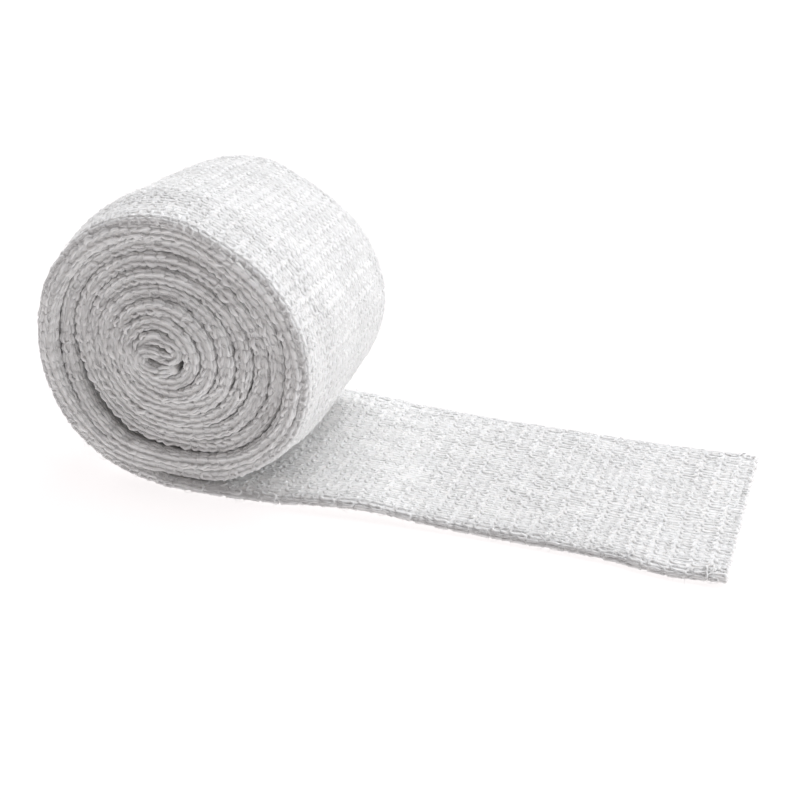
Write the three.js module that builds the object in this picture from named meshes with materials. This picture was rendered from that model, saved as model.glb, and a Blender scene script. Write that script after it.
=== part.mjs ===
// Tubular net bandage: a knitted tube pressed flat and wound into a roll, with its free end lying out.
// Millimetres, +Z up. The free end runs along +X, and the tube's width runs along +Y.
// The roll's axis is parallel to Y. Turns are counted inward from the bottom of the roll, where the
// free end leaves it, and the winding goes from there to the left, the top and the right (front view).
import * as THREE from "three";
import { mergeVertices } from "three/addons/utils/BufferGeometryUtils.js";

// Knitted tube, pressed flat: thickest at its two folded edges
const FLAT_WIDTH = 49.5;
const CLOTH_THICKNESS = 2.6;
const MIDDLE_THICKNESS = 2.2;
const GAP_BETWEEN_PIECES = 0.3;

// Winding
const ROLL_RADIUS = 32.8;
const TURN_PITCH = 3.2;
const TURNS = 9.4;
const EYE_OFFSET_X = -2.8;
const EYE_DEPTH = 2.2;
const VALLEY_DEPTH = 1.3;
const SEGMENTS_PER_TURN = 48;

// Flat spot on which the roll rests
const FLAT_SPOT_HALF_WIDTH = 9;
const FLAT_SPOT_FADE = 16;
const FLAT_SPOT_ROUNDING = 0.2;
const FLAT_SPOT_BLEND = 0.15;
const AXIS_HEIGHT = ROLL_RADIUS - FLAT_SPOT_HALF_WIDTH ** 2 / (2 * ROLL_RADIUS);

// Widest gap between two turns, at the lower left of the front face
const GAP_TURN = 3.14;
const GAP_HALF_SPAN = 0.27;
const GAP_WIDTH = 1.5;
const GAP_DEPTH = 4.5;
const GAP_FADE = 0.72;

// Front edge of the cloth along the winding: how far back it stands from the roll's front plane
const EDGE_ROWS = [
  { turn: 0.0, back: 0.4 },
  { turn: 0.25, back: -0.4 },
  { turn: 0.5, back: 0.9 },
  { turn: 0.75, back: 1.4 },
  { turn: 1.0, back: -0.3 },
  { turn: 1.25, back: -1.2 },
  { turn: 1.5, back: 0.4 },
  { turn: 1.75, back: 0.8 },
  { turn: 2.0, back: -0.3 },
  { turn: 2.25, back: 1.4 },
  { turn: 2.6, back: 1.6 },
  { turn: 3.1, back: 1.4 },
  { turn: 4.0, back: 1.2 },
  { turn: 5.5, back: 0.0 },
  { turn: 7.0, back: -1.2 },
  { turn: 9.4, back: -2.6 },
];

// Roll across its width: the size of its section, how far it bulges to the right at half its height,
// and the outermost turn's soft shoulders and slight waist
const BODY_ROWS = [
  { along: 0.0, size: 1.03, bulge: 0.2, out: -0.7 },
  { along: 0.08, size: 1.03, bulge: 0.2, out: 0.1 },
  { along: 0.2, size: 1.025, bulge: 0.2, out: 0.2 },
  { along: 0.38, size: 1.01, bulge: 0.5, out: -0.4 },
  { along: 0.55, size: 0.995, bulge: 0.8, out: -0.8 },
  { along: 0.72, size: 0.985, bulge: 1.1, out: -0.7 },
  { along: 0.88, size: 0.975, bulge: 1.3, out: -0.4 },
  { along: 1.0, size: 0.97, bulge: 1.4, out: -1.2 },
];

// Free end: its two edges, and how far each is lifted off the surface, from the roll to the cut
const FREE_ROWS = [
  { x: 0, near: 0.4, far: 49.9, nearLift: 0, farLift: 0 },
  { x: 12, near: 0.4, far: 50.8, nearLift: 0, farLift: 0.1 },
  { x: 20, near: 0.8, far: 51.5, nearLift: 0.4, farLift: 0.7 },
  { x: 30, near: 1.8, far: 51.2, nearLift: 1.0, farLift: 0.6 },
  { x: 42, near: 2.9, far: 50.8, nearLift: 1.6, farLift: 0.1 },
  { x: 54, near: 3.3, far: 50.8, nearLift: 0.6, farLift: 0 },
  { x: 70, near: 3.6, far: 50.9, nearLift: 0, farLift: 0 },
  { x: 94, near: 3.3, far: 51.0, nearLift: 0, farLift: 0 },
  { x: 108, near: 2.2, far: 51.5, nearLift: 0, farLift: 0 },
  { x: 118.6, near: 2.3, far: 52.0, nearLift: 0, farLift: 0 },
];
const FREE_LENGTH = FREE_ROWS[FREE_ROWS.length - 1].x;
const FREE_SECTIONS = 34;
const CUT_SLANT = 1.6;
const EDGE_ARC_STEPS = 4;
const FLAT_STEPS = 8;

const clothMaterial = new THREE.MeshStandardMaterial({ color: 0xf1f0ec, roughness: 0.95, metalness: 0 });

// Reads one column of a table anywhere between its rows, on a smooth line through them.
function reader(rows, place, column) {
  const places = rows.map((row) => row[place]);
  const values = rows.map((row) => row[column]);
  const line = new THREE.CubicInterpolant(places, values, 1, [0]);
  const last = places[places.length - 1];
  return (where) => line.evaluate(THREE.MathUtils.clamp(where, places[0], last))[0];
}

const edgeBack = reader(EDGE_ROWS, "turn", "back");
const bodySize = reader(BODY_ROWS, "along", "size");
const bodyBulge = reader(BODY_ROWS, "along", "bulge");

// How much the wide gap is felt at a place on the winding: 1 at its middle, 0 away from it.
// It fades from turn to turn towards the eye.
function gapShare(turn) {
  const turnsInside = Math.round(turn - GAP_TURN);
  const away = Math.abs(turn - GAP_TURN - turnsInside);
  if (turnsInside < 0 || away > GAP_HALF_SPAN) {
    return 0;
  }
  const bell = 0.5 + 0.5 * Math.cos((Math.PI * away) / GAP_HALF_SPAN);
  return bell * GAP_FADE ** turnsInside;
}

// Distance from the winding's own centre to the middle of the cloth.
function middleRadius(turn) {
  const wound = ROLL_RADIUS - CLOTH_THICKNESS / 2 - TURN_PITCH * turn;
  return wound - GAP_WIDTH * gapShare(turn);
}

// Raises the bottom of the roll onto its flat spot: most at the surface, less and less above it.
function settle(x, z) {
  const roundBottom = AXIS_HEIGHT - Math.sqrt(Math.max(ROLL_RADIUS ** 2 - x * x, 0));
  const rise = 0.5 * (Math.sqrt(roundBottom ** 2 + FLAT_SPOT_ROUNDING ** 2) - roundBottom);
  const height = Math.max(z - roundBottom, 0);
  return z + rise * Math.exp(-height / FLAT_SPOT_FADE);
}

// Point of the winding at a turn, a distance outward from the middle of the cloth, and a place across.
function woundPoint(turn, outward, y) {
  const angle = 2 * Math.PI * turn;
  const radius = middleRadius(turn) + outward;
  const centreX = EYE_OFFSET_X * (1 - middleRadius(turn) / ROLL_RADIUS);
  const x = centreX - radius * Math.sin(angle);
  const z = AXIS_HEIGHT - radius * Math.cos(angle);
  const along = THREE.MathUtils.clamp(y / FLAT_WIDTH, 0, 1);
  const size = bodySize(along);
  const height = Math.max(settle(x, z), 0);
  const bulge = bodyBulge(along) * Math.sin((Math.PI * height) / (2 * AXIS_HEIGHT)) ** 2;
  return new THREE.Vector3(x * size + bulge, y, height * size);
}

// Points nearer than this are one point.
const SAME_POINT = 1e-5;

// Collects points and triangles, and gives them as one closed geometry.
class Skin {
  constructor() {
    this.points = [];
    this.faces = [];
  }

  add(point) {
    this.points.push(point.x, point.y, point.z);
    return this.points.length / 3 - 1;
  }

  triangle(a, b, c) {
    this.faces.push(a, b, c);
  }

  quad(a, b, c, d) {
    this.triangle(a, b, c);
    this.triangle(a, c, d);
  }

  geometry() {
    const shape = new THREE.BufferGeometry();
    shape.setAttribute("position", new THREE.Float32BufferAttribute(this.points, 3));
    shape.setIndex(this.faces);
    const closed = mergeVertices(shape, SAME_POINT);
    closed.computeVertexNormals();
    return closed;
  }
}

// One end face: a crest along the cloth's folded edge, a valley between turns, and the eye's hollow.
// side is -1 at the front and 1 at the back.
function addEndFace(skin, side) {
  const steps = Math.round(TURNS * SEGMENTS_PER_TURN);
  const edge = (turn) => edgeBack(turn) + (side > 0 ? FLAT_WIDTH : 0);
  const face = (a, b, c) => (side < 0 ? skin.triangle(a, b, c) : skin.triangle(a, c, b));
  const crest = [];
  const valley = [];
  for (let i = 0; i <= steps; i += 1) {
    const turn = i / SEGMENTS_PER_TURN;
    crest.push(skin.add(woundPoint(turn, 0, edge(turn))));
    if (turn + 1 <= TURNS) {
      const between = (middleRadius(turn + 1) - middleRadius(turn)) / 2;
      const depth = VALLEY_DEPTH + GAP_DEPTH * gapShare(turn + 1);
      const lowest = (edge(turn) + edge(turn + 1)) / 2 - side * depth;
      valley.push(skin.add(woundPoint(turn, between, lowest)));
    }
  }
  for (let i = 0; i + 1 < valley.length; i += 1) {
    const inner = i + SEGMENTS_PER_TURN;
    face(crest[i], valley[i], crest[i + 1]);
    face(crest[i + 1], valley[i], valley[i + 1]);
    face(valley[i], crest[inner], valley[i + 1]);
    face(valley[i + 1], crest[inner], crest[inner + 1]);
  }
  const eyePoint = woundPoint(TURNS, -middleRadius(TURNS), edge(TURNS) - side * EYE_DEPTH);
  const eye = skin.add(eyePoint);
  const last = valley.length - 1;
  const rim = crest.slice(last);
  rim.push(valley[last]);
  rim.forEach((point, i) => face(point, eye, rim[(i + 1) % rim.length]));
  return { crest, valley };
}

// Points across the outside of the roll at one turn, from the front edge to the back edge.
// The shoulders and the waist are pressed out where the roll rests.
function outsideRow(skin, turn) {
  const half = CLOTH_THICKNESS / 2;
  const clear = THREE.MathUtils.smoothstep(1 - Math.cos(2 * Math.PI * turn), 0, FLAT_SPOT_BLEND);
  const front = edgeBack(turn);
  const reach = FLAT_WIDTH - CLOTH_THICKNESS;
  const row = [];
  for (const { along, out } of BODY_ROWS) {
    const outward = half + out * clear;
    row.push(skin.add(woundPoint(turn, outward, front + half + reach * along)));
  }
  return row;
}

// The roll: both end faces, the outside of the outermost turn, and the step where the free end leaves.
function rollGeometry() {
  const skin = new Skin();
  const front = addEndFace(skin, -1);
  const back = addEndFace(skin, 1);
  const rows = [];
  for (let i = 0; i <= SEGMENTS_PER_TURN; i += 1) {
    const across = outsideRow(skin, i / SEGMENTS_PER_TURN);
    rows.push([front.crest[i], ...across, back.crest[i]]);
  }
  for (let i = 0; i < SEGMENTS_PER_TURN; i += 1) {
    for (let j = 0; j + 1 < rows[i].length; j += 1) {
      skin.quad(rows[i][j], rows[i + 1][j], rows[i + 1][j + 1], rows[i][j + 1]);
    }
  }
  const lower = rows[0];
  const upper = rows[SEGMENTS_PER_TURN];
  const end = lower.length - 1;
  for (let j = 0; j < end; j += 1) {
    skin.quad(lower[j], lower[j + 1], upper[j + 1], upper[j]);
  }
  skin.triangle(lower[0], upper[0], front.valley[0]);
  skin.triangle(lower[end], back.valley[0], upper[end]);
  return skin.geometry();
}

// Places across the free end at one station: an arc at each folded edge and a flatter middle.
// Each place has a share of the width, an inset from the edge and a share of the edge's thickness.
function acrossPlaces() {
  const places = [];
  for (let i = 0; i <= EDGE_ARC_STEPS; i += 1) {
    const angle = (Math.PI / 2) * (i / EDGE_ARC_STEPS);
    places.push({ share: 0, inset: 1 - Math.cos(angle), swell: Math.sin(angle) });
  }
  for (let i = 1; i < FLAT_STEPS; i += 1) {
    places.push({ share: i / FLAT_STEPS, inset: 1 - (2 * i) / FLAT_STEPS, swell: 1 });
  }
  for (let i = EDGE_ARC_STEPS; i >= 0; i -= 1) {
    const angle = (Math.PI / 2) * (i / EDGE_ARC_STEPS);
    places.push({ share: 1, inset: Math.cos(angle) - 1, swell: Math.sin(angle) });
  }
  return places;
}

// The free end: sections from the roll to the cut, on the surface where neither edge is lifted.
function freeEndGeometry() {
  const skin = new Skin();
  const columns = ["near", "far", "nearLift", "farLift"];
  const read = Object.fromEntries(columns.map((name) => [name, reader(FREE_ROWS, "x", name)]));
  const places = acrossPlaces();
  const last = places.length - 1;
  const sections = [];
  for (let s = 0; s <= FREE_SECTIONS; s += 1) {
    const along = FREE_LENGTH * (s / FREE_SECTIONS);
    const near = read.near(along);
    const far = read.far(along);
    const cut = s === FREE_SECTIONS ? CUT_SLANT : 0;
    const lower = [];
    const upper = [];
    for (const { share, inset, swell } of places) {
      const y = THREE.MathUtils.lerp(near, far, share) + inset * (CLOTH_THICKNESS / 2);
      const nearLift = Math.max(read.nearLift(along), 0) * (1 - share) ** 2;
      const farLift = Math.max(read.farLift(along), 0) * share ** 2;
      const fullness = (2 * share - 1) ** 2;
      const thickness = THREE.MathUtils.lerp(MIDDLE_THICKNESS, CLOTH_THICKNESS, fullness);
      const middle = nearLift + farLift + CLOTH_THICKNESS / 2;
      const bottom = middle - (CLOTH_THICKNESS / 2) * swell;
      const top = middle + (thickness - CLOTH_THICKNESS / 2) * swell;
      const x = Math.max(along - cut * share, GAP_BETWEEN_PIECES);
      lower.push(skin.add(new THREE.Vector3(x, y, bottom)));
      const atTip = swell === 0;
      upper.push(atTip ? lower[lower.length - 1] : skin.add(new THREE.Vector3(x, y, top)));
    }
    sections.push({ lower, upper });
  }
  for (let s = 0; s < FREE_SECTIONS; s += 1) {
    const here = sections[s];
    const next = sections[s + 1];
    for (let j = 0; j < last; j += 1) {
      skin.quad(here.lower[j], here.lower[j + 1], next.lower[j + 1], next.lower[j]);
      skin.quad(here.upper[j], next.upper[j], next.upper[j + 1], here.upper[j + 1]);
    }
  }
  addCap(skin, sections[0], last, false);
  addCap(skin, sections[FREE_SECTIONS], last, true);
  return skin.geometry();
}

// Closes the free end at one section, facing the cut or the roll.
function addCap(skin, section, last, facesCut) {
  const { lower, upper } = section;
  const face = (a, b, c) => (facesCut ? skin.triangle(a, b, c) : skin.triangle(a, c, b));
  face(lower[0], lower[1], upper[1]);
  for (let j = 1; j < last - 1; j += 1) {
    face(lower[j], lower[j + 1], upper[j + 1]);
    face(lower[j], upper[j + 1], upper[j]);
  }
  face(lower[last - 1], lower[last], upper[last - 1]);
}

// A named piece of the bandage.
function piece(name, geometry) {
  const mesh = new THREE.Mesh(geometry, clothMaterial.clone());
  mesh.name = name;
  return mesh;
}

const group = new THREE.Group();
group.add(piece("wound_roll", rollGeometry()));
group.add(piece("free_end", freeEndGeometry()));

// The origin is at the middle of the whole bandage, on the surface it lies on.
const whole = new THREE.Box3().setFromObject(group);
const middle = whole.getCenter(new THREE.Vector3());
group.position.set(-middle.x, -middle.y, -whole.min.z);

export default group;
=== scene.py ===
"""Tubular net bandage: a knitted cotton tube, pressed flat and wound into a soft roll.

The classes work in millimetres in the roll's own frame. There x runs along the free end with 0 under
the roll's axis, y runs across the pressed tube with 0 at the roll's front, and z is the height above
the surface. A mesh is made in metres, in the model's frame.

A place on the pressed tube has three numbers: how far along it from the cut, how far round it in
wales (the columns of stitches), and how high above its skin. Wale 0 is the middle of the front fold
and wale 26 the middle of the back fold, and each fold reaches 1.5 wales to either side. Between
them, wales 1.5 to 24.5 are the face that is outside in the roll, and wales 27.5 to 50.5 are the face
that is inside in the roll and on top in the free end.
"""

import logging
import math
from collections.abc import Sequence
from dataclasses import dataclass, field
from enum import Enum

import bpy
import numpy as np
from bpy.types import Material, Node, NodeSocket, NodeTree, Object
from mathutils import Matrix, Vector


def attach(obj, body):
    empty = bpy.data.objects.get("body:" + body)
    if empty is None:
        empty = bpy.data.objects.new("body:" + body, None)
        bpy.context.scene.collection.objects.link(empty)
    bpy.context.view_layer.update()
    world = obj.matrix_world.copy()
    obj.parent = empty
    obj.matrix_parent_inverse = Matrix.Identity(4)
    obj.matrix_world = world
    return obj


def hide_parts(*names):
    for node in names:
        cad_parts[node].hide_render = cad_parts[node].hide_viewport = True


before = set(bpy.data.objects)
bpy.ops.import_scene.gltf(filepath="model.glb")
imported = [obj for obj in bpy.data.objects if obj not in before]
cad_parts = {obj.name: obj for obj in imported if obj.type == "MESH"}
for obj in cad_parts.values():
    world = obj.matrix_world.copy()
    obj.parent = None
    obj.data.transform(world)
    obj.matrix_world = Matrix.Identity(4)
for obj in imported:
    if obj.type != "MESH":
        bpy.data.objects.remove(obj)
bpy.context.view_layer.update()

logging.basicConfig(level=logging.INFO, format="%(message)s")
log = logging.getLogger("bandage")

Array = np.ndarray
Triple = tuple[float, float, float]
Colour = tuple[float, float, float, float]
Span = tuple[float, float]

MM = 0.001
ROLL_FRAME_IN_MODEL = np.array([-42.7789, -24.7012, 0.0])
LOWEST_POINT = 0.00002
BODY = "root"


class Face(Enum):
    """The two end faces of the roll, each with the seed of its own unevenness."""

    FRONT = 11
    BACK = 12


def smoothstep(low: float, high: float, where: Array) -> Array:
    """Gives 0 below low, 1 above high and a smooth rise between them.

    Args:
        low: Where the rise starts.
        high: Where the rise ends.
        where: The places to read.

    Returns:
        The share at each place.
    """
    share = np.clip((np.asarray(where, float) - low) / (high - low), 0.0, 1.0)
    return share * share * (3.0 - 2.0 * share)


def unit(vectors: Array) -> Array:
    """Gives vectors of length 1."""
    return vectors / (np.linalg.norm(vectors, axis=-1, keepdims=True) + 1e-12)


def bell(where: Array, width: float) -> Array:
    """Gives 1 at 0 and a smooth fall to 0 on both sides, over about a width."""
    return np.exp(-((where / width) ** 2))


def corner_places(first: Array, last: Array, low: Array, high: Array) -> Array:
    """Gives the UV places of four-cornered faces.

    Args:
        first: U at the first and second corner.
        last: U at the third and fourth corner.
        low: V at the first and fourth corner.
        high: V at the second and third corner.

    Returns:
        The four places of every face.
    """
    corners = ((first, low), (first, high), (last, high), (last, low))
    return np.stack([np.stack(corner, -1) for corner in corners], -2)


@dataclass(frozen=True)
class SmoothLine:
    """A smooth line through the rows of a table."""

    places: Sequence[float]
    values: Sequence[float]

    def __call__(self, where: Array) -> Array:
        """Reads the line.

        Args:
            where: The places to read, held to the table's ends.

        Returns:
            The line's value at each place.
        """
        places = np.asarray(self.places, float)
        values = np.asarray(self.values, float)
        slopes = np.diff(values) / np.diff(places)
        tangents = np.concatenate([slopes[:1], (slopes[1:] + slopes[:-1]) / 2, slopes[-1:]])
        at = np.clip(where, places[0], places[-1])
        row = np.clip(np.searchsorted(places, at, side="right") - 1, 0, len(places) - 2)
        span = places[row + 1] - places[row]
        p = (at - places[row]) / span
        start = (2 * p**3 - 3 * p**2 + 1) * values[row] + (p**3 - 2 * p**2 + p) * span * tangents[row]
        end = (3 * p**2 - 2 * p**3) * values[row + 1] + (p**3 - p**2) * span * tangents[row + 1]
        return start + end


@dataclass(frozen=True)
class Wobble:
    """A slow, seeded unevenness between about -1 and 1 over one or two directions."""

    seed: int
    step: float
    across_step: float = 1.0
    rows: int = 600
    columns: int = 64

    def __call__(self, where: Array, across: Array | float = 0.0) -> Array:
        """Reads the unevenness.

        Args:
            where: Places in the first direction.
            across: Places in the second direction.

        Returns:
            The unevenness at each place.
        """
        grid = np.random.default_rng(self.seed).uniform(-1, 1, (self.rows, self.columns))
        where, across = np.broadcast_arrays(np.asarray(where, float), np.asarray(across, float))
        u = where / self.step
        v = across / self.across_step
        i = np.floor(u).astype(int)
        j = np.floor(v).astype(int)
        p = smoothstep(0, 1, u - i)
        q = smoothstep(0, 1, v - j)
        i0, i1 = i % self.rows, (i + 1) % self.rows
        j0, j1 = j % self.columns, (j + 1) % self.columns
        low = grid[i0, j0] * (1 - p) + grid[i1, j0] * p
        high = grid[i0, j1] * (1 - p) + grid[i1, j1] * p
        return low * (1 - q) + high * q


# Where the free end's lines are read, from the roll, and where the roll's are, as shares of its width.
STATIONS = (0, 12, 20, 30, 42, 54, 70, 94, 108, 118.6)
ACROSS = (0, 0.08, 0.2, 0.38, 0.55, 0.72, 0.88, 1)


@dataclass(frozen=True)
class Winding:
    """The roll's wound form: turns counted inward from the bottom, by the left, the top and the right."""

    flat_width: float = 49.5
    cloth_thickness: float = 2.6
    roll_radius: float = 32.8
    turn_pitch: float = 3.2
    turns: float = 9.62
    eye_offset: float = -2.8
    flat_spot_half_width: float = 9.0
    flat_spot_fade: float = 16.0
    flat_spot_rounding: float = 1.2
    flat_spot_sink: float = 0.25
    gap_turn: float = 3.14
    gap_half_span: float = 0.27
    gap_width: float = 1.35
    gap_fade: float = 0.72
    fold_turns: tuple[float, ...] = (8.62, 8.72, 8.82, 8.92, 9.02, 9.12, 9.22, 9.32, 9.42, 9.52, 9.62)
    fold_x: tuple[float, ...] = (1.5, 3.5, 4.2, 3.2, 1.0, -1.2, -3.1, -3.9, -2.6, 0.4, 3.7)
    fold_z: tuple[float, ...] = (3.9, 3.1, 1.5, 0.2, 0.4, 1.1, 1.0, -0.7, -2.2, -2.8, -1.8)
    fold_start: float = 8.5
    fold_half_thickness: float = 1.3
    thickest: float = 3.2
    edge_back: SmoothLine = SmoothLine(
        (0, 0.03, 0.06, 0.14, 0.25, 0.5, 0.75, 1, 1.25, 1.5, 1.75, 2, 2.25, 2.6, 3.1, 4, 5.5, 7, 9.4),
        (-0.8, 0.9, 1.2, 0.4, 0.2, 0.9, 1.2, 0.2, -0.9, 0.7, 1.0, -0.3, 1.4, 1.6, 1.4, 1.2, 0, -1.2, -2.6),
    )
    size: SmoothLine = SmoothLine(ACROSS, (1.03, 1.03, 1.025, 1.01, 0.995, 0.985, 0.975, 0.97))
    bulge: SmoothLine = SmoothLine(ACROSS, (0.2, 0.2, 0.2, 0.5, 0.8, 1.1, 1.3, 1.4))

    @property
    def axis_height(self) -> float:
        """Height of the roll's axis, which the flat spot lowers."""
        return self.roll_radius - self.flat_spot_half_width**2 / (2 * self.roll_radius)

    def gap_share(self, turn: Array) -> Array:
        """Tells how much the wide gap at the lower left is felt.

        Args:
            turn: Places on the winding.

        Returns:
            1 at the middle of the gap and 0 away from it, fading towards the eye.
        """
        inside = np.round(turn - self.gap_turn)
        away = np.abs(turn - self.gap_turn - inside)
        opening = 0.5 + 0.5 * np.cos(np.pi * away / self.gap_half_span)
        felt = (inside >= 0) & (away <= self.gap_half_span)
        return np.where(felt, opening * self.gap_fade ** np.maximum(inside, 0), 0.0)

    def middle_radius(self, turn: Array) -> Array:
        """Distance from the winding's centre to the middle of the cloth."""
        wound = self.roll_radius - self.cloth_thickness / 2 - self.turn_pitch * turn
        return wound - self.gap_width * self.gap_share(turn)

    def half_thickness(self, turn: Array) -> Array:
        """Gives half of the room that the cloth has between its neighbours.

        Args:
            turn: Places on the winding.

        Returns:
            Half of the cloth's thickness at each place.
        """
        inward = self.middle_radius(turn) - self.middle_radius(turn + 1)
        outward = self.middle_radius(np.maximum(turn, 1) - 1) - self.middle_radius(np.maximum(turn, 1))
        wound = 0.49 * np.minimum(np.minimum(inward, outward), self.thickest)
        folded = smoothstep(self.fold_start - 0.1, self.fold_start + 0.1, turn)
        return wound * (1 - folded) + self.fold_half_thickness * folded

    def _spiral(self, turn: Array) -> tuple[Array, Array]:
        """Gives the wound line, without the first fold at the eye.

        Args:
            turn: Places on the winding.

        Returns:
            The line's x and its height at each place, before the roll rests.
        """
        angle = 2 * np.pi * turn
        middle = self.middle_radius(turn)
        centre = self.eye_offset * (1 - middle / self.roll_radius)
        return centre - middle * np.sin(angle), self.axis_height - middle * np.cos(angle)

    def line(self, turn: Array) -> tuple[Array, Array]:
        """The middle line of the cloth: the wound line, and at the eye the first fold, an S on its side.

        Args:
            turn: Places on the winding.

        Returns:
            The line's x and its height at each turn, before the roll rests.
        """
        before = self.fold_start - np.array([0.25, 0.125, 0.0])
        before_x, before_z = self._spiral(before)
        turns = np.concatenate([before, self.fold_turns])
        fold_x = np.concatenate([before_x, np.array(self.fold_x) + self.eye_offset])
        fold_z = np.concatenate([before_z, np.array(self.fold_z) + self.axis_height])
        x, z = self._spiral(turn)
        folded = turn > self.fold_start
        return (
            np.where(folded, SmoothLine(turns, fold_x)(turn), x),
            np.where(folded, SmoothLine(turns, fold_z)(turn), z),
        )

    def settle(self, x: Array, z: Array) -> Array:
        """Raises the bottom of the roll onto its flat spot.

        Args:
            x: Places along the free end.
            z: Heights before the roll rests.

        Returns:
            The heights as the roll rests.
        """
        low = self.axis_height - np.sqrt(np.maximum(self.roll_radius**2 - x * x, 0))
        rise = 0.5 * (np.sqrt(low**2 + self.flat_spot_rounding**2) - low)
        return z + (rise - self.flat_spot_sink) * np.exp(-np.maximum(z - low, 0) / self.flat_spot_fade)

    def point(self, turn: Array, outward: Array, across: Array) -> Array:
        """Gives points of the winding.

        Args:
            turn: Places on the winding.
            outward: Distances outward from the middle of the cloth.
            across: Places across the tube's width.

        Returns:
            The points, three numbers each.
        """
        x, z = self.line(turn)
        step = 0.004
        x_next, z_next = self.line(turn + step)
        x_last, z_last = self.line(turn - step)
        ahead_x, ahead_z = x_next - x_last, z_next - z_last
        length = np.hypot(ahead_x, ahead_z) + 1e-9
        x = x - outward * ahead_z / length
        z = z + outward * ahead_x / length
        along = np.clip(across / self.flat_width, 0, 1)
        size = self.size(along)
        height = np.maximum(self.settle(x, z), 0)
        bulge = self.bulge(along) * np.sin(np.pi * height / (2 * self.axis_height)) ** 2
        return np.stack(np.broadcast_arrays(x * size + bulge, across, height * size), -1)


@dataclass(frozen=True)
class FreeEnd:
    """The free end's two edges and their lift, at places from the roll to the cut."""

    length: float = STATIONS[-1]
    near: SmoothLine = SmoothLine(STATIONS, (-0.8, -0.6, -0.4, 0.3, 1.2, 1.6, 1.8, 1.3, -0.5, 0.4))
    far: SmoothLine = SmoothLine(STATIONS, (51.6, 52.8, 53.3, 52.9, 52.2, 51.9, 51.8, 51.9, 52.6, 52.8))
    near_lift: SmoothLine = SmoothLine(STATIONS, (0, 0, 0.4, 1.0, 1.6, 0.6, 0, 0, 0, 0))
    far_lift: SmoothLine = SmoothLine(STATIONS, (0, 0.1, 0.7, 0.6, 0.1, 0, 0, 0, 0, 0))
    cut_slant: float = 1.6
    slant_fade: float = 14.0


@dataclass(frozen=True)
class Knit:
    """The knit: sizes of a stitch and of its yarn."""

    course_pitch: float = 2.1
    wales_round: int = 52
    fold_wales: float = 1.5
    face_wales: float = 23.0
    loop_reach: float = 1.62
    head_width: float = 0.17
    leg_closeness: float = 0.05
    loop_depth: float = 0.12
    yarn_radius: float = 0.4
    yarn_height: float = 0.05
    raised_course: float = 0.05
    raised_at_cut: float = 0.8
    cut_reach: float = 30.0
    fold_knob: float = 0.32
    knob_width: float = 1.3
    free_end_knob_loss: float = 0.7
    outer_turn_knob_loss: float = 0.8
    stands_proud: float = 0.55
    shown_depth_share: float = -0.9
    open_end_reach: float = 0.4
    away_step: float = 0.2

    @property
    def back_fold(self) -> float:
        """The wale in the middle of the back fold."""
        return self.wales_round / 2

    def from_fold(self, wale: Array) -> Array:
        """Wales from the middle of the nearest fold."""
        return np.mod(wale + self.back_fold / 2, self.back_fold) - self.back_fold / 2


@dataclass(frozen=True)
class Unevenness:
    """How uneven the stitches are: each stitch on its own, slow drifts over many, and tightness."""

    own_reach: float = 0.12
    own_along: float = 0.14
    own_round: float = 0.07
    own_height: float = 0.09
    own_radius: float = 0.12
    own_knob: float = 0.8
    drift_along: float = 0.55
    drift_round: float = 0.22
    drift_starts: Span = (2.0, 9.0)
    least_tight: float = 0.7
    tight_height: float = 0.6
    tight_radius: float = 0.08
    course_radius: float = 0.06
    outer_turn_calm: float = 0.5


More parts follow.
